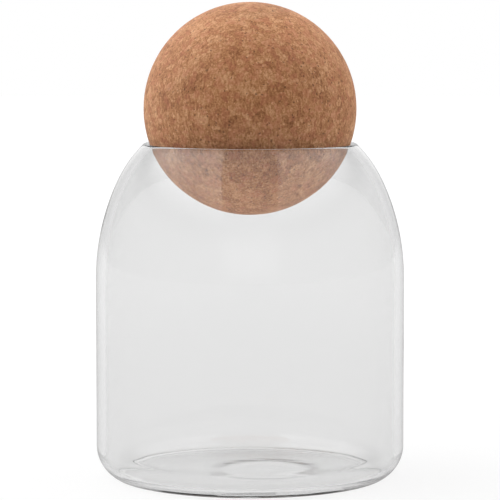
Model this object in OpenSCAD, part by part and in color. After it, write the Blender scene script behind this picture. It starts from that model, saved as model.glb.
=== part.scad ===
// Blown glass storage jar with a cork ball for a lid.
// The jar stands on z = 0 with its axis on the z axis. The ball rests on the fire-polished lip and lifts off.
// All sizes are in millimetres and all angles in degrees.

/* [Jar body] */
// Outer diameter of the straight side
jar_d = 100; // [90:1:110]
// Thickness of the blown wall, and of the lip that ends it
wall = 2.8; // [2:0.1:3.4]
// Height at which the straight side ends and the shoulder starts
side_h = 64.5; // [50:0.5:90]

/* [Shoulder] */
// Radius of the long, slow curve above the straight side
shoulder_low_r = 74; // [66:1:82]
// Inward lean of the wall where the slow curve hands over to the tighter one
shoulder_low_lean = 25.5; // [20:0.5:30]
// Radius of the tighter curve below the mouth
shoulder_top_r = 41.5; // [38:0.5:46]
// Inward lean of the wall where it ends in the lip
mouth_lean = 45; // [40:1:50]

/* [Base] */
// Radius of the heel, where the side turns into the base
heel_r = 11.3; // [8:0.1:14]
// Angle that the heel turns through before the small edge of the foot
heel_turn = 60; // [50:1:75]
// Radius of the edge between the heel and the ring that the jar stands on
foot_edge_r = 2; // [1:0.1:4]
// Width of the flat ring that the jar stands on
foot_ring_w = 2.5; // [1.5:0.1:5]
// Height of the hollow under the base, at its middle
punt_rise = 1.6; // [0.5:0.1:2.5]
// Thickness of the floor at the foot of the inner wall
floor_t = 3.4; // [3:0.1:6]
// Radius of the curve from the inner wall to the floor
inner_heel_r = 9; // [6:0.5:14]

/* [Pontil mark] */
// Diameter of the polished dish left in the base where the blower's iron was broken off
pontil_d = 30; // [20:1:36]
// Depth of the dish
pontil_depth = 0.7; // [0.3:0.1:1]
// Distance of the dish from the jar's axis
pontil_offset = 5; // [0:0.5:8]

/* [Cork ball] */
// How much wider the ball is than the middle of the lip that carries it
ball_oversize = 1.4; // [0.5:0.1:8]
// Clearance between the ball and the lip
seat_gap = 0.15; // [0.1:0.05:0.3]

/* [Hidden] */
$fn = 180;
side_r = jar_d / 2;
lip_r = wall / 2;

// Coarsest chord and turn between neighbouring points of an outline's arc
arc_chord = 3;
arc_turn = 6;

// Unit vector in the section plane, at an angle above the radial direction
function toward(angle) = [cos(angle), sin(angle)];

// Points along an arc. The last one is left out, because the stretch that follows starts there.
function arc(centre, radius, from, to) =
    let (turn = abs(to - from))
    let (steps = ceil(max(turn / arc_turn, radius * turn * PI / 180 / arc_chord)))
    [for (i = [0:steps - 1]) centre + radius * toward(from + (to - from) * i / steps)];

// Radius of the circle whose arc spans a chord of this half width and bulges by this height
function dish_r(half_w, height) = (half_w * half_w + height * height) / (2 * height);

// Angle from the radial direction at which a dome of this radius reaches the half width
function dome_edge(radius, half_w) = acos(half_w / radius);

// Centres of the wall's arcs. Each centre lies on the line from the one before it to the point where
// their arcs meet, so that the outline has no kink, and the inner skin shares the outer one's centres.
shoulder_low_c = [side_r - shoulder_low_r, side_h];
shoulder_top_c = shoulder_low_c + (shoulder_low_r - shoulder_top_r) * toward(shoulder_low_lean);
lip_c = shoulder_top_c + (shoulder_top_r - lip_r) * toward(mouth_lean);
heel_c = [side_r - heel_r, foot_edge_r + (heel_r - foot_edge_r) * sin(heel_turn)];
foot_edge_c = heel_c + (heel_r - foot_edge_r) * toward(-heel_turn);
inner_heel_c = [side_r - wall - inner_heel_r, floor_t + inner_heel_r];

// The hollow under the base and the floor above it are domes of the same rise
punt_half_w = foot_edge_c.x - foot_ring_w;
punt_r = dish_r(punt_half_w, punt_rise);
floor_r = dish_r(inner_heel_c.x, punt_rise);

// The dish is hollowed further than the dome that it lies in, so its own bulge adds to the dome's
pontil_r = 1 / (1 / punt_r + 1 / dish_r(pontil_d / 2, pontil_depth));

// The ball meets the round lip on the line between their centres, which crosses both surfaces
ball_r = lip_c.x + ball_oversize / 2;
ball_z = lip_c.y + sqrt(pow(ball_r + seat_gap + lip_r, 2) - pow(lip_c.x, 2));

// Outer skin, from the ring that the jar stands on up to the lip
function outer_skin() = concat(
    arc(foot_edge_c, foot_edge_r, -90, -heel_turn),
    arc(heel_c, heel_r, -heel_turn, 0),
    arc(shoulder_low_c, shoulder_low_r, 0, shoulder_low_lean),
    arc(shoulder_top_c, shoulder_top_r, shoulder_low_lean, mouth_lean)
);

// Round lip, from the outer skin over to the inner one
function lip() = arc(lip_c, lip_r, mouth_lean, mouth_lean + 180);

// Inner skin, from the lip down to the floor and along it to the axis
function inner_skin() = concat(
    arc(shoulder_top_c, shoulder_top_r - wall, mouth_lean, shoulder_low_lean),
    arc(shoulder_low_c, shoulder_low_r - wall, shoulder_low_lean, 0),
    arc(inner_heel_c, inner_heel_r, 0, -90),
    arc([0, floor_t + punt_rise - floor_r], floor_r, dome_edge(floor_r, inner_heel_c.x), 90),
    [[0, floor_t + punt_rise]]
);

// Underside, from the axis out to the inner edge of the standing ring
function underside() = concat(
    arc([0, punt_rise - punt_r], punt_r, 90, dome_edge(punt_r, punt_half_w)),
    [[punt_half_w, 0]]
);

// Blown glass jar, one piece from the foot to the lip
module glass_jar() {
    color([0.86, 0.89, 0.89, 0.4])
        difference() {
            rotate_extrude()
                polygon(concat(outer_skin(), lip(), inner_skin(), underside()));
            translate([pontil_offset, 0, punt_rise + pontil_depth - pontil_r])
                rotate([90, 0, 0]) sphere(pontil_r);
        }
}

// Solid ball turned from pressed cork granules
module cork_ball() {
    color([0.70, 0.52, 0.36])
        translate([0, 0, ball_z]) sphere(ball_r);
}

glass_jar();
cork_ball();
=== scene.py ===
"""Blown glass storage jar with a cork ball for a lid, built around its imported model.

Every length is in metres and every angle in radians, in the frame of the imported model: the jar stands on
z = 0 with its axis on the z axis.
"""

import itertools
import math

import bpy
import numpy as np
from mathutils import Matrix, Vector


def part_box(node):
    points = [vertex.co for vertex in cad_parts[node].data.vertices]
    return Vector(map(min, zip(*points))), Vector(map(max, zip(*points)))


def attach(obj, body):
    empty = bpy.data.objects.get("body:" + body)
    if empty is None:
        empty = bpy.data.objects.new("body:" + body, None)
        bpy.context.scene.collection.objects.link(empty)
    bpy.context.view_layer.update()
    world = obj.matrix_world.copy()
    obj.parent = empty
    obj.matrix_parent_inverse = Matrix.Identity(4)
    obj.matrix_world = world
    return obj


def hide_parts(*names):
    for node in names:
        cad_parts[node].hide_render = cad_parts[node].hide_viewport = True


bl_info = {
    "name": "Glass jar with cork ball",
    "version": (1, 0, 0),
    "blender": (4, 5, 0),
    "location": "3D View > Sidebar > Glass Jar",
    "description": "Builds a blown glass jar, its cork ball lid and a plain white studio",
    "category": "Object",
}

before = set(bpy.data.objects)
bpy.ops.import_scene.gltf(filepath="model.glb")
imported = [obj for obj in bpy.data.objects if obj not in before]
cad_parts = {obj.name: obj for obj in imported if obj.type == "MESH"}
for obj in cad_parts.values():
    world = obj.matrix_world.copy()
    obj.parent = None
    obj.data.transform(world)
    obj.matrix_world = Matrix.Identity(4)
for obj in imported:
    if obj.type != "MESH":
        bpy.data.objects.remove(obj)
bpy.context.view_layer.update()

JAR_NODE = "glass_jar"
BALL_NODE = "cork_ball"
MM = 0.001
QUARTER_TURN = math.pi / 2

# Shader nodes that are used often. A Map Range has its value at socket 0, the range that the value runs
# through at 1 and 2, and what the two ends of that range turn to at 3 and 4.
MATH = "ShaderNodeMath"
MIX = "ShaderNodeMix"
RANGE = "ShaderNodeMapRange"
SMOOTH = {"interpolation_type": "SMOOTHSTEP"}

# Random numbers come from the scattered bits of a cube's place: a prime for each axis, then the shifts and
# multipliers of each draw, and how many of the 64 bits a draw keeps. Each pattern has a seed of its own.
PRIMES = (73856093, 19349663, 83492791)
SCATTER = ((33, 0xFF51AFD7ED558CCD), (29, 0xC4CEB9FE1A85EC53), (32, 1))
KEPT_BITS = 53
RELIEF_SEED = 5
PIT_SEED = 11
PATCH_SEED = 23


def linear(colour):
    """Linear red, green, blue and full alpha of an sRGB hex colour such as C89A6B."""
    parts = [int(colour[i:i + 2], 16) / 255 for i in (0, 2, 4)]
    return [c / 12.92 if c <= 0.04045 else ((c + 0.055) / 1.055) ** 2.4 for c in parts] + [1.0]


def length(name, description, default, most):
    """A length property in metres, from nothing to most."""
    return bpy.props.FloatProperty(
        name=name, description=description, default=default, min=0, max=most,
        subtype="DISTANCE", unit="LENGTH", precision=5,
    )


def angle(name, description, default):
    """An angle property, given in degrees and held in radians."""
    return bpy.props.FloatProperty(
        name=name, description=description, default=math.radians(default), min=0, max=QUARTER_TURN,
        subtype="ANGLE", unit="ROTATION",
    )


def colour(name, description, default):
    """A colour property, given as sRGB hex and held as linear."""
    return bpy.props.FloatVectorProperty(
        name=name, description=description, default=linear(default)[:3], min=0, max=1, size=3,
        subtype="COLOR",
    )


def factor(name, description, default, most=1.0):
    """A plain number property from 0 to most."""
    return bpy.props.FloatProperty(
        name=name, description=description, default=default, min=0, max=most, subtype="FACTOR",
    )


class GlassJarSizes(bpy.types.PropertyGroup):
    """The jar's section and its glass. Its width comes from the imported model."""

    wall: length("Wall", "Thickness of the blown wall and of the lip", 2.8 * MM, 0.01)
    side_height: length("Side height", "Height at which the straight side ends", 64.5 * MM, 0.2)
    slow_radius: length("Slow shoulder", "Radius of the curve above the straight side", 74 * MM, 0.2)
    slow_lean: angle("Slow lean", "Lean of the wall where the tighter curve starts", 25.5)
    tight_radius: length("Tight shoulder", "Radius of the curve below the mouth", 41.5 * MM, 0.2)
    mouth_lean: angle("Mouth lean", "Lean of the wall where it ends in the lip", 45)
    heel_radius: length("Heel", "Radius at which the side turns into the base", 11.3 * MM, 0.05)
    heel_turn: angle("Heel turn", "Angle that the heel turns through before the foot's edge", 60)
    foot_edge: length("Foot edge", "Radius between the heel and the standing ring", 2 * MM, 0.01)
    foot_ring: length("Standing ring", "Width of the flat ring that the jar stands on", 2.5 * MM, 0.01)
    hollow: length("Hollow", "Height of the hollow under the base", 0.4 * MM, 0.01)
    floor: length("Floor", "Height of the floor at the foot of the wall", 1.9 * MM, 0.02)
    floor_dome: length("Floor dome", "How much higher the middle of the floor is", 0.2 * MM, 0.01)
    inner_heel: length("Inner heel", "Radius from the inner wall to the floor", 6.5 * MM, 0.05)
    mark_width: length("Pontil mark", "Width of the round mark under the base", 28 * MM, 0.1)
    mark_depth: length("Mark depth", "Depth of the groove round it", 0.07 * MM, 0.001)
    mark_offset: length("Mark offset", "Distance of its middle from the axis", 5.2 * MM, 0.05)
    ripple: length("Ripple", "Height of the fine rings that run round the inner heel", 0.02 * MM, 0.001)
    waver: length("Waver", "How far the blown wall wanders from a true round", 0.05 * MM, 0.001)
    tint: colour("Skin", "Colour left in white light that has crossed both skins of a wall", "F1F1F1")
    depth_loss: factor("Loss in depth", "Thousandths of the light lost in each millimetre of glass", 5.0, 50)


class CorkBallSizes(bpy.types.PropertyGroup):
    """The ball's surface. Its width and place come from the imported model."""

    granule: length("Granule", "Width of a pressed cork granule", 1.9 * MM, 0.01)
    relief: length("Relief", "How far the granules stand out from each other", 0.03 * MM, 0.001)
    pit_depth: length("Pit depth", "Depth of the pits between granules", 0.14 * MM, 0.001)
    dark: colour("Dark granule", "Darkest granules", "86502C")
    middle: colour("Granule", "Commonest granules", "BA8053")
    light: colour("Light granule", "Palest granules", "DEAA7F")
    blush: colour("Reddish granule", "What some granules lean towards", "BD7254")
    # the bark specks' own colour, and also the painted shade laid into the pits between granules
    pit: colour("Pit", "Bark and gaps between granules", "56341F")


class StudioSizes(bpy.types.PropertyGroup):
    """Camera and light of the plain studio."""

    distance: length("Camera distance", "From the camera to the jar's axis", 0.900, 5)
    height: length("Camera height", "Of the camera above the table", 0.1604, 2)
    pitch: angle("Camera pitch", "How far the camera looks down", 5.514)
    lens: bpy.props.FloatProperty(
        name="Lens", description="Focal length in millimetres on a 36 mm sensor", default=200.58, min=20,
    )
    left: factor("Left box", "Light that the left box adds to the wide one, where 1 is paper white", 2.4, 5)
    right: factor("Right box", "Light that the right box adds to the wide one", 2.4, 5)
    wide: factor("Wide box", "Light of the wide soft box overhead", 0.75, 5)
    back: factor("Back", "Light from the lit backdrop behind the jar", 1.9, 3)
    front: factor("Front", "Light from the dim room in front of the jar", 0.05, 2)
    left_seen: factor("Left box seen", "How bright the left box looks in the glass", 1.9, 5)
    right_seen: factor("Right box seen", "How bright the right box looks in the glass", 1.45, 5)
    gap_seen: factor("Gap seen", "How bright the gap between them looks in the glass", 0.85, 5)
    ceiling: factor("Ceiling", "How bright the bare ceiling looks in the glass", 0.5)
    bounce: factor("Bounce", "Light that the far table throws back at the object", 0.25)
    through: factor("Through glass", "Light that the table throws at the ball through the glass", 1.9, 5)
    mirrored: factor("Mirrored", "How bright side walls and table look where glass mirrors them", 0.3)


def add(tree, kind, settings=None, output=None):
    """Adds a shader node and returns it, or its output of that name or number where one is given.

    settings holds its options and its sockets, by name, or by number where a socket's name isn't its own.
    A value that is itself a socket is linked, and any other one is set.
    """
    node = tree.nodes.new(kind)
    for name, value in (settings or {}).items():
        if isinstance(value, bpy.types.NodeSocket):
            tree.links.new(value, node.inputs[name])
        elif isinstance(name, int) or name in node.inputs:
            node.inputs[name].default_value = value
        else:
            setattr(node, name, value)
    return node if output is None else node.outputs[output]


def empty_tree(owner):
    """The node tree of a new material or world, without any node."""
    owner.use_nodes = True
    owner.node_tree.nodes.clear()
    return owner.node_tree


def surface(name, points, quads, triangles, material, attributes=None):
    """A smooth mesh object at the origin from arrays of points, quads and triangles."""
    mesh = bpy.data.meshes.new(name)
    corners = np.concatenate([quads.ravel(), triangles.ravel()])
    sizes = np.concatenate([np.full(len(quads), 4), np.full(len(triangles), 3)])
    mesh.vertices.add(len(points))
    mesh.vertices.foreach_set("co", points.astype(np.float32).ravel())
    mesh.loops.add(len(corners))
    mesh.loops.foreach_set("vertex_index", corners.astype(np.int32))
    mesh.polygons.add(len(sizes))
    mesh.polygons.foreach_set("loop_start", (np.cumsum(sizes) - sizes).astype(np.int32))
    mesh.polygons.foreach_set("loop_total", sizes.astype(np.int32))
    mesh.update(calc_edges=True)
    mesh.validate()
    mesh.shade_smooth()
    for label, values in (attributes or {}).items():
        layer = mesh.attributes.new(label, "FLOAT", "POINT")
        layer.data.foreach_set("value", values.astype(np.float32))
    mesh.materials.append(material)
    made = bpy.data.objects.new(name, mesh)
    bpy.context.scene.collection.objects.link(made)
    return made


def around(columns):
    """Angles of that many points spread evenly round a circle."""
    return np.linspace(0, 2 * math.pi, columns, endpoint=False)


def ring_numbers(rows, columns):
    """Numbers of the vertices on rows rings of columns points, and for each the next one round its ring."""
    ring = np.arange(rows * columns).reshape(rows, columns)
    return ring, np.roll(ring, -1, axis=1)


def lathe_faces(rows, columns):
    """Quads between the rings of a turned surface, and the triangles that close it at its two poles.

    The vertices are rows rings of columns points, then the first pole and the last one. Ring and column
    run so that a ring that rises up the outside has its faces outwards.
    """
    ring, after = ring_numbers(rows, columns)
    quads = np.stack([ring[:-1], after[:-1], after[1:], ring[1:]], axis=-1).reshape(-1, 4)
    first, last = rows * columns, rows * columns + 1
    start = np.stack([after[0], ring[0], np.full(columns, first)], axis=-1)
    end = np.stack([ring[-1], after[-1], np.full(columns, last)], axis=-1)
    return quads, np.concatenate([start, end])


def disc(reach, rows, columns):
    """Points, quads and triangles of a flat disc that faces up.

    A point is (radius cos turn, radius sin turn, 0), on rings at even steps of radius out to reach. The
    middle is the last point.
    """
    radius, turn = reach * np.arange(1, rows + 1) / rows, around(columns)
    flat = np.stack([np.outer(radius, np.cos(turn)), np.outer(radius, np.sin(turn))], axis=-1)
    points = np.pad(flat.reshape(-1, 2), ((0, 1), (0, 1)))
    ring, after = ring_numbers(rows, columns)
    quads = np.stack([ring[:-1], ring[1:], after[1:], after[:-1]], axis=-1).reshape(-1, 4)
    triangles = np.stack([ring[0], after[0], np.full(columns, rows * columns)], axis=-1)
    return points, quads, triangles


def arc(centre, radius, start, end, step=1.2 * MM, turn=math.radians(4)):
    """Points on an arc from angle start to angle end, one every step or turn, without the last one.

    Each is the centre plus the radius times (cos angle, sin angle).
    """
    count = math.ceil(max(abs(end - start) * radius / step, abs(end - start) / turn))
    angles = start + (end - start) * np.arange(count) / count
    return np.asarray(centre) + radius * np.stack([np.cos(angles), np.sin(angles)], axis=1)


def straight(start, end, step=2.5 * MM):
    """Points on a straight line from start to end, one every step, without the last one."""
    start, end = np.asarray(start), np.asarray(end)
    count = math.ceil(np.linalg.norm(end - start) / step)
    return start + (end - start) * (np.arange(count) / count)[:, None]


def toward(lean):
    """Unit vector in the section plane, at an angle above the radial direction."""
    return np.array([math.cos(lean), math.sin(lean)])


def dish_radius(half_width, height):
    """Radius of the circle whose arc spans a chord of that half width and bulges by that height."""
    return (half_width ** 2 + height ** 2) / (2 * height)


def jar_outline(sizes, side):
    """The jar's section as (outer skin, inner skin), each a run of points (radius, height).

    The outer skin starts at the axis under the base and ends short of the top of the lip, where the inner
    skin starts, and that one ends short of the axis above the floor. Neighbouring arcs meet on the line
    through their centres, and both skins share the shoulder's centres.
    """
    lip = sizes.wall / 2
    slow = np.array([side - sizes.slow_radius, sizes.side_height])
    tight = slow + (sizes.slow_radius - sizes.tight_radius) * toward(sizes.slow_lean)
    lip_centre = tight + (sizes.tight_radius - lip) * toward(sizes.mouth_lean)
    heel_drop = (sizes.heel_radius - sizes.foot_edge) * math.sin(sizes.heel_turn)
    heel = np.array([side - sizes.heel_radius, sizes.foot_edge + heel_drop])
    foot = heel + (sizes.heel_radius - sizes.foot_edge) * toward(-sizes.heel_turn)
    inner_side = side - sizes.wall
    inner_heel = np.array([inner_side - sizes.inner_heel, sizes.floor + sizes.inner_heel])

    # the hollow under the base and the floor above it are shallow domes
    ring_inside = foot[0] - sizes.foot_ring
    hollow_radius = dish_radius(ring_inside, sizes.hollow)
    hollow_centre = (0, sizes.hollow - hollow_radius)
    hollow_edge = math.acos(ring_inside / hollow_radius)
    floor_radius = dish_radius(inner_heel[0], sizes.floor_dome)
    floor_centre = (0, sizes.floor + sizes.floor_dome - floor_radius)
    floor_edge = math.acos(inner_heel[0] / floor_radius)

    ring_step, lip_turn = sizes.foot_ring / 3, math.radians(9)
    heel_step, floor_step = 0.25 * MM, 0.6 * MM
    outer = [
        arc(hollow_centre, hollow_radius, QUARTER_TURN, hollow_edge),
        straight((ring_inside, 0), (foot[0], 0), ring_step),
        arc(foot, sizes.foot_edge, -QUARTER_TURN, -sizes.heel_turn),
        arc(heel, sizes.heel_radius, -sizes.heel_turn, 0),
        straight((side, heel[1]), (side, sizes.side_height)),
        arc(slow, sizes.slow_radius, 0, sizes.slow_lean),
        arc(tight, sizes.tight_radius, sizes.slow_lean, sizes.mouth_lean),
        arc(lip_centre, lip, sizes.mouth_lean, QUARTER_TURN, turn=lip_turn),
    ]
    inner = [
        arc(lip_centre, lip, QUARTER_TURN, sizes.mouth_lean + math.pi, turn=lip_turn),
        arc(tight, sizes.tight_radius - sizes.wall, sizes.mouth_lean, sizes.slow_lean),
        arc(slow, sizes.slow_radius - sizes.wall, sizes.slow_lean, 0),
        straight((inner_side, sizes.side_height), (inner_side, inner_heel[1])),
        arc(inner_heel, sizes.inner_heel, 0, -QUARTER_TURN, heel_step),
        arc(floor_centre, floor_radius, floor_edge, QUARTER_TURN, floor_step),
    ]
    return np.concatenate(outer), np.concatenate(inner)


def wander(height, turn, phase):
    """A slow wander from 0 to 1, the mean of three waves.

    Each wave is the sine of the turn times 1, 2 or 3, plus as many full turns as the height holds of the
    wave's climb, plus the phase times a number of its own.
    """
    waves = ((1, 90 * MM, 1.0), (2, -60 * MM, 2.1), (3, 40 * MM, 3.7))
    total = sum(
        np.sin(times * turn + 2 * math.pi * height / climb + own * phase) for times, climb, own in waves
    )
    return 0.5 + total / (2 * len(waves))


def heel_ripples(sizes, outline, is_inner):
    """How far the fine rings round the inner heel lift each point of the outline: a sine of the way along
    the outline, under a bell that is highest in the middle of the heel's turn."""
    spread, wave = 5 * MM, 1.6 * MM
    # an arc has made half its turn 0.3 of its radius up, and the heel lies well outside the floor's middle
    half_turned, floor_reach = 0.3, 30 * MM
    middle_height = sizes.floor + half_turned * sizes.inner_heel
    radius, height = outline.T
    way = np.concatenate([[0], np.cumsum(np.linalg.norm(np.diff(outline, axis=0), axis=1))])
    heel = is_inner & (height < sizes.floor + sizes.inner_heel) & (radius > floor_reach)
    from_middle = way - way[heel & (height < middle_height)][0]
    bell = heel * np.exp(-(from_middle / spread) ** 2)
    return bell * sizes.ripple * np.sin(2 * math.pi * from_middle / wave)


def jar_points(sizes, outer, inner, columns):
    """Points of the jar: rings of columns points, one ring for each point of its section, and the two
    points on the axis that close it.

    A point is (radius cos turn, radius sin turn, height). The radius is the section's, less the waver
    times a wander of its skin. The height is the section's, plus the ripples on the inner heel, plus a
    bell of the distance from the pontil mark's circle on the underside.
    """
    outline = np.concatenate([outer[1:], inner])
    is_inner = np.arange(len(outline)) >= len(outer) - 1
    radius, height = outline[:, :1], outline[:, 1:]
    turn = around(columns)

    # the wander fades out at the foot and the lip, and only ever makes the jar narrower
    foot_end, free_from, free_to, lip_start = 15 * MM, 35 * MM, 85 * MM, 100 * MM
    free = np.interp(height, (foot_end, free_from, free_to, lip_start), (0, 1, 1, 0))
    inner_phase, outer_phase = 1.3, 4.2
    phase = np.where(is_inner, inner_phase, outer_phase)[:, None]
    radius = radius - sizes.waver * free * wander(height, turn, phase)
    x, y = radius * np.cos(turn), radius * np.sin(turn)

    # the mark is a round groove, not a dish: its middle is as high as the base around it
    groove_width = 3 * MM
    underside = ~is_inner[:, None] & (height < sizes.hollow)
    from_mark = np.hypot(x - sizes.mark_offset, y) - sizes.mark_width / 2
    groove = underside * sizes.mark_depth * np.exp(-(from_mark / groove_width) ** 2)
    z = height + groove + heel_ripples(sizes, outline, is_inner)[:, None]

    poles = [[0, 0, sizes.hollow], [0, 0, sizes.floor + sizes.floor_dome]]
    return np.concatenate([np.stack([x, y, z], axis=-1).reshape(-1, 3), poles])


def borosilicate_glass(sizes):
    """Clear borosilicate glass, blown and fire polished: a smooth skin, no grain, and a trace of grey that
    deepens along the glass, so that the heel and the edges of the wall look darker than its middle.

    Lamps shine through it, so its shadow is that of thin clear glass.
    """
    material = bpy.data.materials.new("borosilicate glass")
    tree = empty_tree(material)
    tint = [*sizes.tint, 1]
    glass = add(tree, "ShaderNodeBsdfPrincipled", {
        "Base Color": tint, "Roughness": 0.0, "IOR": 1.473, "Transmission Weight": 1.0,
    }, 0)
    clear = add(tree, "ShaderNodeBsdfTransparent", {"Color": tint}, 0)
    shadow = add(tree, "ShaderNodeLightPath", output="Is Shadow Ray")
    skin = add(tree, "ShaderNodeMixShader", {0: shadow, 1: glass, 2: clear}, 0)
    loss = {"Color": linear("000000"), "Density": sizes.depth_loss}
    grey = add(tree, "ShaderNodeVolumeAbsorption", loss, 0)
    add(tree, "ShaderNodeOutputMaterial", {"Surface": skin, "Volume": grey})
    return material


class GLASSJAR_OT_jar(bpy.types.Operator):
    """Blow the glass jar: one closed wall, turned from its section, with a pontil mark under its base"""

    bl_idname = "glass_jar.build_jar"
    bl_label = "Glass Jar"

    def execute(self, context):
        sizes = context.scene.glass_jar_sizes
        side, _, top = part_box(JAR_NODE)[1]
        outer, inner = jar_outline(sizes, side)
        lip_top = inner[0, 1]
        most_off = 0.1 * MM
        if abs(lip_top - top) > most_off:
            raise RuntimeError(f"the section is {lip_top} high and the packed jar {top}")
        columns = 288
        points = jar_points(sizes, outer, inner, columns)
        quads, triangles = lathe_faces(len(outer) - 1 + len(inner), columns)
        jar = surface("blown_glass_jar", points, quads, triangles, borosilicate_glass(sizes))
        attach(jar, "jar")
        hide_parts(JAR_NODE)
        return {"FINISHED"}


def random_of(cubes, seed):
    """Three random numbers from 0 to 1 for each whole-number cube, by mixing the bits of its place."""
    mixed = np.bitwise_xor.reduce(cubes.astype(np.uint64) * np.array(PRIMES, np.uint64), axis=1)
    mixed += np.uint64(seed)
    unused_bits = np.uint64(64 - KEPT_BITS)
    numbers = []
    for _ in range(3):
        for shift, multiplier in SCATTER:
            mixed ^= mixed >> np.uint64(shift)
            mixed *= np.uint64(multiplier)
        numbers.append((mixed >> unused_bits).astype(float) / 2 ** KEPT_BITS)
    return np.stack(numbers, axis=1)


def granules(points, size, seed):
    """Pressed granules around each point: space is cut into cubes of one granule's size with one centre at
    a random place in each, and the 27 cubes around a point are searched.

    Returns the distance to the nearest centre, in granule sizes, and that granule's own random number.
    """
    places = points / size
    cube = np.floor(places).astype(np.int64)
    nearest = np.full(len(points), np.inf)
    own = np.zeros(len(points))
    for step in itertools.product((-1, 0, 1), repeat=3):
        neighbour = cube + np.array(step)
        chance = random_of(neighbour, seed)
        gap = np.linalg.norm(neighbour + chance - places, axis=1)
        closer = gap < nearest
        own = np.where(closer, chance[:, 0], own)
        nearest = np.where(closer, gap, nearest)
    return nearest, own


def outward(rows, columns):
    """Unit vectors from the middle of a ball: rings from the bottom up, then straight down and straight up.

    Each is (cos rise cos turn, cos rise sin turn, sin rise).
    """
    rise = np.pi * np.arange(1, rows + 1) / (rows + 1) - np.pi / 2
    turn = around(columns)
    rings = np.stack([
        np.outer(np.cos(rise), np.cos(turn)),
        np.outer(np.cos(rise), np.sin(turn)),
        np.outer(np.sin(rise), np.ones(columns)),
    ], axis=-1).reshape(-1, 3)
    return np.concatenate([rings, [[0, 0, -1], [0, 0, 1]]])


def cork_pits(places):
    """How deep each point lies in a pit, from 0 to 1: the reach less the distance over the slope, from the
    middle of a granule that has dropped out. One has where its random number is over the bar, and some
    patches have a lower bar than others."""
    granule, patch = 1.5 * MM, 9 * MM
    reach, slope = 1.3, 0.22
    bar, lowered = 0.97, 0.3
    near, chance = granules(places, granule, PIT_SEED)
    crowding = granules(places, patch, PATCH_SEED)[1]
    return np.clip(reach - near / slope, 0, 1) * (chance > bar - lowered * crowding)


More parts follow.
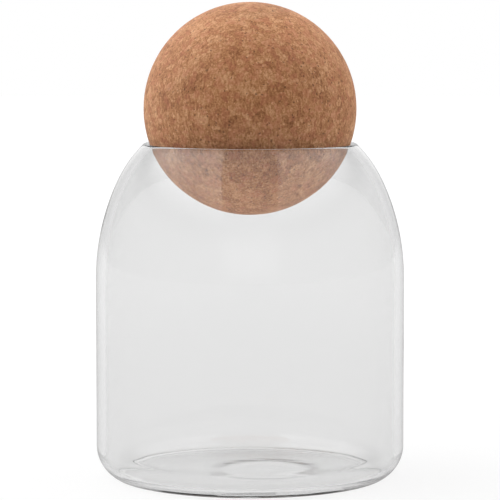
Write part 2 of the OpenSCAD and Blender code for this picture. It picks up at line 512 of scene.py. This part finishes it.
def agglomerated_cork(sizes, centre):
    """Agglomerated cork, turned and sanded: soft-edged pressed granules, each with its own tone, a fibrous
    grain inside them, a few larger ones, dark bark specks, pits between them with painted shade in them,
    pale flecks where a granule was cut through its cells, and a dry surface with a faint sheen.
    """
    material = bpy.data.materials.new("agglomerated cork")
    tree = empty_tree(material)
    place = add(tree, "ShaderNodeTexCoord", output="Object")
    place = add(tree, "ShaderNodeMapping", {"Vector": place, "Location": -centre}, 0)

    # soft blotches from 0 to 1: how wide they are, their detail, and how they are squeezed along each axis
    blotches = {}
    for name, width, detail, squeeze in (
        ("bend", 1.1 * MM, 3.0, (1, 1, 1)),
        ("fibres", 0.9 * MM, 3.0, (1.3, 1.3, 0.7)),
        ("grain", 0.5 * MM, 2.0, (1, 1, 1)),
        ("drift", 7 * MM, 2.0, (1, 1, 1)),
    ):
        squeezed = add(tree, "ShaderNodeMapping", {"Vector": place, "Scale": squeeze}, 0)
        noise = add(tree, "ShaderNodeTexNoise", {"Vector": squeezed, "Scale": 1 / width, "Detail": detail})
        blotches[name] = noise.outputs
    # the granules' edges are bent by up to this much
    bend = [1.3 * MM] * 3
    bent = add(tree, "ShaderNodeVectorMath", {
        "operation": "MULTIPLY_ADD", 0: blotches["bend"]["Color"], 1: bend, 2: place,
    }, 0)

    # granules of three widths: two random numbers from 0 to 1 for each, and the distance to its middle
    speck = 1.0 * MM
    cells = []
    for width in (sizes.granule, 2 * sizes.granule, speck):
        cell = add(tree, "ShaderNodeTexVoronoi", {"Vector": bent, "Scale": 1 / width}).outputs
        split = add(tree, "ShaderNodeSeparateColor", {"Color": cell["Color"]}).outputs
        cells.append((split[0], split[1], cell["Distance"]))
    (small, kind, _), (large, chance, _), (_, speck_chance, speck_gap) = cells

    # a few large granules among the small ones, and small round specks, some of them flecks and some bark
    large_above, fleck_below, bark_above, speck_radius = 0.78, 0.09, 0.9, 0.32
    larger = add(tree, MATH, {"operation": "GREATER_THAN", 0: chance, 1: large_above}, 0)
    granule = add(tree, MIX, {"data_type": "FLOAT", 0: larger, 2: small, 3: large}, 0)
    inside = add(tree, MATH, {"operation": "LESS_THAN", 0: speck_gap, 1: speck_radius}, 0)
    fleck = add(tree, MATH, {"operation": "LESS_THAN", 0: speck_chance, 1: fleck_below}, 0)
    fleck = add(tree, MATH, {"operation": "MULTIPLY", 0: fleck, 1: inside}, 0)
    bark = add(tree, MATH, {"operation": "GREATER_THAN", 0: speck_chance, 1: bark_above}, 0)
    bark = add(tree, MATH, {"operation": "MULTIPLY", 0: bark, 1: inside}, 0)

    # the tone is the middle of the ramp, plus each pattern's swing about its own middle, plus the flecks
    dark_tone, middle_tone, light_tone = 0.15, 0.5, 0.85
    granule_weight, fleck_weight = 0.26, 0.3
    weights = {"fibres": 0.9, "grain": 0.7, "drift": 0.4}
    swings = [(granule, granule_weight)]
    swings += [(blotches[name]["Fac"], weight) for name, weight in weights.items()]
    tone = middle_tone - sum(weight for _, weight in swings) / 2
    for pattern, weight in (*swings, (fleck, fleck_weight)):
        tone = add(tree, MATH, {"operation": "MULTIPLY_ADD", 0: pattern, 1: weight, 2: tone}, 0)
    hues = (sizes.dark, sizes.middle, sizes.light, sizes.blush, sizes.pit)
    dark, middle, light, blush, pit = ([*hue, 1] for hue in hues)
    ramp = add(tree, "ShaderNodeValToRGB", {"Fac": tone})
    stops = ramp.color_ramp.elements
    stops.new(middle_tone)
    marks = ((dark_tone, dark), (middle_tone, middle), (light_tone, light))
    for stop, (position, hue) in zip(stops, marks):
        stop.position, stop.color = position, hue

    # some granules lean to a reddish brown, and bark specks are darker than the cork around them; the pits
    # get painted shade, the same dark colour laid on as deep as each pit is
    leaning, most_lean, most_bark_and_pit_shade = {1: 0.5, 2: 0.9}, 0.35, 0.65
    lean = add(tree, RANGE, {**SMOOTH, **leaning, 0: kind, 3: 0.0, 4: most_lean}, 0)
    base = add(tree, MIX, {"data_type": "RGBA", 0: lean, 6: ramp.outputs["Color"], 7: blush}, 2)
    pits = add(tree, "ShaderNodeAttribute", {"attribute_name": "pit"}, "Fac")
    bark_and_pit_shade = add(tree, MATH, {"operation": "MAXIMUM", 0: bark, 1: pits}, 0)
    bark_and_pit_shade = add(tree, MATH, {"operation": "MULTIPLY", 0: bark_and_pit_shade, 1: most_bark_and_pit_shade}, 0)
    base = add(tree, MIX, {"data_type": "RGBA", 0: bark_and_pit_shade, 6: base, 7: pit}, 2)
    cork = add(tree, "ShaderNodeBsdfPrincipled", {"Base Color": base, "Roughness": 0.65}, 0)
    add(tree, "ShaderNodeOutputMaterial", {"Surface": cork})
    return material


class GLASSJAR_OT_ball(bpy.types.Operator):
    """Turn the cork ball: a ball of pressed granules with pits between them"""

    bl_idname = "glass_jar.build_ball"
    bl_label = "Cork Ball"

    def execute(self, context):
        sizes = context.scene.cork_ball_sizes
        rows, columns = 219, 440
        low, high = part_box(BALL_NODE)
        centre, radius = (low + high) / 2, (high.z - low.z) / 2
        # a point lies out from the centre by the radius, less its granule's relief and less its pit
        out = outward(rows, columns)
        own = granules(out * radius, sizes.granule, RELIEF_SEED)[1]
        pits = cork_pits(out * radius)
        depth = sizes.relief * own + sizes.pit_depth * pits
        points = out * (radius - depth)[:, None] + np.array(centre)
        quads, triangles = lathe_faces(rows, columns)
        material = agglomerated_cork(sizes, centre)
        # the pit depth is kept on the mesh so that the cork material paints shade into the pits
        ball = surface("cork_granule_ball", points, quads, triangles, material, {"pit": pits})
        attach(ball, "ball")
        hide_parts(BALL_NODE)
        return {"FINISHED"}


def seen_rays(tree, mirrored):
    """Two values: 1 for any ray that the eye follows, straight or through or off glass, and the share of
    the white that it shows, which is less where glass only mirrors it."""
    path = add(tree, "ShaderNodeLightPath").outputs
    from_eye, through, off_glass = path["Is Camera Ray"], path["Is Transmission Ray"], path["Is Glossy Ray"]
    clear = add(tree, MATH, {"operation": "MAXIMUM", 0: from_eye, 1: through}, 0)
    followed = add(tree, MATH, {"operation": "MAXIMUM", 0: clear, 1: off_glass}, 0)
    dimmed = add(tree, MATH, {"operation": "MULTIPLY", 0: off_glass, 1: mirrored}, 0)
    return followed, add(tree, MATH, {"operation": "MAXIMUM", 0: clear, 1: dimmed}, 0)


def studio_world(sizes):
    """What surrounds the table, as the eye sees it in or through glass and as it lights the object.

    To the eye it has white walls, a dimmer ceiling above them, and overhead the soft boxes: a bright one on
    the left and one on the right, with a sharp-edged, darker gap between them that widens towards the
    camera. Their outer edges are soft. Glass mirrors the walls in full only ahead and behind, above the
    table, and more dimly at the sides. The light on the object comes from the backdrop behind it, up to
    halfway overhead, with more of it from the left, and hardly any comes from the room in front.

    x, y and z are those of the unit vector that a ray points along: right, away from the camera, and up.
    """
    world = bpy.data.worlds.new("white studio")
    tree = empty_tree(world)
    direction = add(tree, "ShaderNodeTexCoord", output="Generated")
    x, y, z = add(tree, "ShaderNodeSeparateXYZ", {"Vector": direction}).outputs
    across = add(tree, MATH, {"operation": "ABSOLUTE", 0: x}, 0)

    # where each fade starts and where it ends
    horizon, aside, wall_top = {1: -0.1, 2: 0.15}, {1: 0.2, 2: 0.5}, {1: 0.25, 2: 0.5}
    middle, gap_edge, box_edge = {1: -0.01, 2: 0.01}, {1: -0.01, 2: 0.015}, {1: 0.42, 2: 0.74}
    ahead = add(tree, RANGE, {**SMOOTH, **horizon, 0: z, 3: sizes.mirrored, 4: 1.0}, 0)
    mirrored = add(tree, RANGE, {**SMOOTH, **aside, 0: across, 3: ahead, 4: sizes.mirrored}, 0)
    followed, share = seen_rays(tree, mirrored)
    walls = add(tree, RANGE, {**SMOOTH, **wall_top, 0: z, 3: 1.0, 4: sizes.ceiling}, 0)
    walls = add(tree, MATH, {"operation": "MULTIPLY", 0: walls, 1: share}, 0)

    # past_gap is 0 along the gap's two edges, and the gap is wider the higher and the nearer it is
    higher, nearer = 0.256, 0.27
    past_gap = add(tree, MATH, {"operation": "MULTIPLY_ADD", 0: z, 1: -higher, 2: across}, 0)
    past_gap = add(tree, MATH, {"operation": "MULTIPLY_ADD", 0: y, 1: nearer, 2: past_gap}, 0)
    either = add(tree, RANGE, {**SMOOTH, **middle, 0: x, 3: sizes.left_seen, 4: sizes.right_seen}, 0)
    boxes = add(tree, RANGE, {**SMOOTH, **gap_edge, 0: past_gap, 3: sizes.gap_seen, 4: either}, 0)
    seen = add(tree, RANGE, {**SMOOTH, **box_edge, 0: z, 3: walls, 4: boxes}, 0)

    # the light on the object grows from front to back and fades upwards and from left to right
    thrown = 1.0
    for way, start, end, low, high in (
        (y, -0.6, 0.3, sizes.front, sizes.back),
        (z, 0.5, 0.85, 1.0, 0.1),
        (x, -1.0, 1.0, 1.25, 0.6),
    ):
        level = add(tree, RANGE, {**SMOOTH, 0: way, 1: start, 2: end, 3: low, 4: high}, 0)
        thrown = add(tree, MATH, {"operation": "MULTIPLY", 0: thrown, 1: level}, 0)
    strength = add(tree, MIX, {"data_type": "FLOAT", 0: followed, 2: thrown, 3: seen}, 0)
    air = add(tree, "ShaderNodeBackground", {"Color": linear("FFFFFF"), "Strength": strength}, 0)
    add(tree, "ShaderNodeOutputWorld", {"Surface": air})
    return world


def white_table(sizes):
    """Matt table that takes a faint shadow: it also gives off light towards the eye, which lifts all but
    the shadow to white, and more of it further off, where the lamps are weaker. Some of that light falls
    on the object too, as a white table would throw it back, and more on the part of the ball that hangs
    in the glass."""
    material = bpy.data.materials.new("matt white table")
    tree = empty_tree(material)
    matt = add(tree, "ShaderNodeBsdfDiffuse", {"Color": linear("747474")}, 0)
    place = add(tree, "ShaderNodeTexCoord", output="Object")
    distance = add(tree, "ShaderNodeVectorMath", {"operation": "LENGTH", 0: place}, "Value")

    # the lift towards the eye grows evenly out to far, from what white needs under the lamps
    under_lamps, growth, far = 0.79, 0.085, 2.0
    capped = add(tree, MATH, {"operation": "MINIMUM", 0: distance, 1: far}, 0)
    white = add(tree, MATH, {"operation": "MULTIPLY_ADD", 0: capped, 1: growth, 2: under_lamps}, 0)

    # the light on the object is strongest from close around the foot
    near_bounce, foot, around_foot = 1.6, 0.06, 0.3
    thrown = add(tree, RANGE, {
        **SMOOTH, 0: distance, 1: foot, 2: around_foot, 3: near_bounce, 4: sizes.bounce,
    }, 0)
    followed, share = seen_rays(tree, sizes.mirrored)

    # a ray that the ball has scattered, and that comes through the glass to the table, is given more of it
    depth = add(tree, "ShaderNodeLightPath", output="Diffuse Depth")
    ball_share = add(tree, RANGE, {**SMOOTH, 0: depth, 1: 0.0, 2: 1.0, 3: 1.0, 4: sizes.through}, 0)
    share = add(tree, MATH, {"operation": "MULTIPLY", 0: share, 1: ball_share}, 0)
    amount = add(tree, MIX, {"data_type": "FLOAT", 0: followed, 2: thrown, 3: share}, 0)
    strength = add(tree, MATH, {"operation": "MULTIPLY", 0: white, 1: amount}, 0)
    lift = add(tree, "ShaderNodeEmission", {"Color": linear("FFFFFF"), "Strength": strength}, 0)
    both = add(tree, "ShaderNodeAddShader", {0: matt, 1: lift}, 0)
    add(tree, "ShaderNodeOutputMaterial", {"Surface": both})
    return material


def soft_box(name, place, size, radiance):
    """A rectangular lamp that faces down. Its power gives that radiance: radiance times area times pi.

    Glass shows the world's picture of the soft boxes in its place.
    """
    data = bpy.data.lights.new(name, "AREA")
    data.shape = "RECTANGLE"
    data.size, data.size_y = size
    data.energy = radiance * size[0] * size[1] * math.pi
    lamp = bpy.data.objects.new(name, data)
    lamp.location = place
    lamp.visible_glossy = lamp.visible_transmission = False
    bpy.context.scene.collection.objects.link(lamp)


def front_camera(sizes):
    """A camera in front of the jar that looks back and down at it."""
    camera = bpy.data.cameras.new("camera")
    camera.sensor_width = 36
    camera.lens = sizes.lens
    holder = bpy.data.objects.new("camera", camera)
    holder.location = (0, -sizes.distance, sizes.height)
    holder.rotation_euler = (QUARTER_TURN - sizes.pitch, 0, 0)
    bpy.context.scene.collection.objects.link(holder)
    return holder


class GLASSJAR_OT_stage(bpy.types.Operator):
    """Set up the white studio: table, soft light and camera"""

    bl_idname = "glass_jar.build_stage"
    bl_label = "White Studio"

    def execute(self, context):
        sizes = context.scene.studio_sizes
        scene = context.scene
        scene.view_settings.view_transform = "Standard"
        # light that runs along inside the thick base is thrown back many times before it leaves the glass
        scene.cycles.max_bounces = scene.cycles.transmission_bounces = scene.cycles.glossy_bounces = 32
        scene.world = studio_world(sizes)
        reach, rows, columns = 3.0, 12, 96
        table = surface("white_table", *disc(reach, rows, columns), white_table(sizes))

        # the soft boxes hang level: how far each is to the right, how wide it is, and its light
        rise, ahead, deep = 1.4, -0.1, 2.0
        for name, aside, wide, radiance in (
            ("wide_box", 0, 4.0, sizes.wide),
            ("left_box", -1.2, 1.6, sizes.left),
            ("right_box", 1.2, 1.6, sizes.right),
        ):
            soft_box(name, (aside, ahead, rise), (wide, deep), radiance)
        scene.camera = front_camera(sizes)
        return {"FINISHED"}


class GLASSJAR_PT_panel(bpy.types.Panel):
    """Sizes, colours and build buttons of the jar"""

    bl_label = "Glass Jar"
    bl_idname = "GLASSJAR_PT_panel"
    bl_space_type = "VIEW_3D"
    bl_region_type = "UI"
    bl_category = "Glass Jar"

    def draw(self, context):
        layout = self.layout
        for title, name, _, operator in SECTIONS:
            box = layout.box()
            box.label(text=title)
            sizes = getattr(context.scene, name)
            for item in sizes.__annotations__:
                box.prop(sizes, item)
            box.operator(operator.bl_idname)


SECTIONS = (
    ("Studio", "studio_sizes", StudioSizes, GLASSJAR_OT_stage),
    ("Jar", "glass_jar_sizes", GlassJarSizes, GLASSJAR_OT_jar),
    ("Ball", "cork_ball_sizes", CorkBallSizes, GLASSJAR_OT_ball),
)
CLASSES = (*(item for _, _, *pair in SECTIONS for item in pair), GLASSJAR_PT_panel)


def register():
    """Registers the classes and gives every scene its sizes."""
    for item in CLASSES:
        bpy.utils.register_class(item)
    for _, name, group, _ in SECTIONS:
        setattr(bpy.types.Scene, name, bpy.props.PointerProperty(type=group))


def unregister():
    """Takes back what register did."""
    for _, name, _, _ in SECTIONS:
        delattr(bpy.types.Scene, name)
    for item in reversed(CLASSES):
        bpy.utils.unregister_class(item)


def main():
    """Registers the add-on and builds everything."""
    register()
    bpy.ops.glass_jar.build_stage()
    bpy.ops.glass_jar.build_jar()
    bpy.ops.glass_jar.build_ball()
    bpy.context.view_layer.update()


if __name__ == "__main__":
    main()
